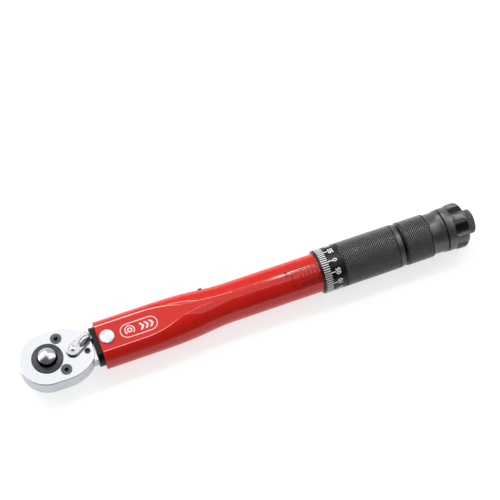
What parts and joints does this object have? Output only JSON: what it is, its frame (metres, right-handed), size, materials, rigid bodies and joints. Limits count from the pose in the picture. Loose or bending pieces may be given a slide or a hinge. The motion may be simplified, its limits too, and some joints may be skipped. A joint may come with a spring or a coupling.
{
  "type": "torque wrench",
  "caption": "Click-type torque wrench: round ratchet head with square drive and reversing lever, flattened red tube, turning scale grip and end lock knob.",
  "frame": {"origin": "centre of the drive square's end face", "axes": "+X along the wrench towards the handle, +Z along the drive axis, up through the face with the reversing lever"},
  "size_m": [0.2772, 0.0326, 0.0271],
  "materials": {
    "head_chrome": "satin chrome plate",
    "bright_chrome": "bright chrome plate",
    "ring_steel": "dark blackened steel, fine turned finish",
    "screw_black": "black oxide",
    "tube_red": "gloss red enamel",
    "pin_white": "satin nickel plate",
    "collar_black": "black moulded rubber",
    "inner_steel": "machined and oiled",
    "spring_steel": "drawn spring wire",
    "nut_brass": "machined brass",
    "thimble_black": "black anodised, semi-gloss",
    "grip_grey": "dark grey anodised, knurled",
    "knob_grey": "dark grey anodised"
  },
  "bodies": {
    "tube": {"outer_tube": "tube_red", "front_collar": "collar_black", "pivot_pin": "pin_white", "pivot_clip": "screw_black", "pivot_washers": "inner_steel", "guide_screw": "screw_black", "main_spring": "spring_steel", "tube_nut": "nut_brass", "nut_pins": "inner_steel"},
    "head": {"head_body": "head_chrome", "cover_plate": "head_chrome", "cover_screws": "screw_black"},
    "drive": {"drive_gear": "ring_steel", "button_spring": "spring_steel"},
    "button": {"release_button": "bright_chrome"},
    "ball": {"socket_ball": "bright_chrome"},
    "lever": {"reverse_lever": "bright_chrome", "lever_shaft": "bright_chrome", "lever_plunger": "inner_steel", "lever_plunger_spring": "spring_steel", "lever_detent_ball": "bright_chrome", "lever_detent_spring": "spring_steel"},
    "pawl": {"pawl": "inner_steel"},
    "plunger": {"plunger": "inner_steel"},
    "tilt_block": {"tilt_block": "inner_steel"},
    "spring_seat": {"spring_seat": "inner_steel", "thrust_washer": "inner_steel"},
    "handle": {"adjusting_screw": "inner_steel", "scale_thimble": "thimble_black", "grip_sleeve": "grip_grey", "screw_clip": "screw_black", "lock_bush": "nut_brass"},
    "lock_rod": {"lock_rod": "inner_steel"},
    "lock_knob": {"lock_knob": "knob_grey", "knob_washer": "inner_steel", "end_cap": "knob_grey"},
    "lock_ball": {"lock_ball": "bright_chrome"}
  },
  "joints": [
    {"name": "click_pivot", "type": "hinge", "parent": "tube", "child": "head", "pos_m": [0.035, 0, 0.0136], "axis": [0, 0, 1], "range_deg": [0, 2]},
    {"name": "plunger_slide", "type": "slide", "parent": "tube", "child": "plunger", "axis": [1, 0, 0], "range_m": [0, 0.0016], "deforming": ["main_spring"]},
    {"name": "block_tilt", "type": "hinge", "parent": "plunger", "child": "tilt_block", "pos_m": [0.08955, 0.0025, 0.0136], "axis": [0, 0, -1], "range_deg": [0, 15.5]},
    {"name": "drive_spin", "type": "hinge", "parent": "head", "child": "drive", "pos_m": [0, 0, 0.0136], "axis": [0, 0, 1], "continuous": true},
    {"name": "button_press", "type": "slide", "parent": "drive", "child": "button", "axis": [0, 0, -1], "range_m": [0, 0.0015], "deforming": ["button_spring"]},
    {"name": "ball_retract", "type": "slide", "parent": "drive", "child": "ball", "axis": [0, 1, 0], "range_m": [0, 0.00051]},
    {"name": "lever_flip", "type": "hinge", "parent": "head", "child": "lever", "pos_m": [0.015, 0, 0.0136], "axis": [0, 0, 1], "range_deg": [-47.4, 0]},
    {"name": "pawl_rock", "type": "hinge", "parent": "head", "child": "pawl", "pos_m": [0.015, 0, 0.0136], "axis": [0, 0, 1], "range_deg": [-8.01, 0]},
    {"name": "setting_slide", "type": "slide", "parent": "tube", "child": "spring_seat", "axis": [-1, 0, 0], "range_m": [0, 0.0125], "deforming": ["main_spring"]},
    {"name": "grip_turn", "type": "hinge", "parent": "spring_seat", "child": "handle", "pos_m": [0.2, 0, 0.0136], "axis": [-1, 0, 0], "range_deg": [0, 1801.5]},
    {"name": "lock_slide", "type": "slide", "parent": "handle", "child": "lock_rod", "axis": [-1, 0, 0], "range_m": [0, 0.0006]},
    {"name": "knob_turn", "type": "hinge", "parent": "lock_rod", "child": "lock_knob", "pos_m": [0.247, 0, 0.0136], "axis": [-1, 0, 0], "range_deg": [0, 180.5]},
    {"name": "lock_ball_lift", "type": "slide", "parent": "handle", "child": "lock_ball", "axis": [0, 0, 1], "range_m": [0, 0.00026]}
  ],
  "couplings": [
    {"joint": "plunger_slide", "follows": "click_pivot", "m_per_rad": 0.045},
    {"joint": "block_tilt", "follows": "click_pivot", "ratio": 7.5},
    {"joint": "ball_retract", "follows": "button_press", "ratio": 0.33333},
    {"joint": "pawl_rock", "follows": "lever_flip", "ratio": 0.16878},
    {"joint": "grip_turn", "follows": "setting_slide", "rad_per_m": 2513.3},
    {"joint": "knob_turn", "follows": "lock_slide", "rad_per_m": 5236},
    {"joint": "lock_ball_lift", "follows": "lock_slide", "ratio": 0.41667}
  ]
}
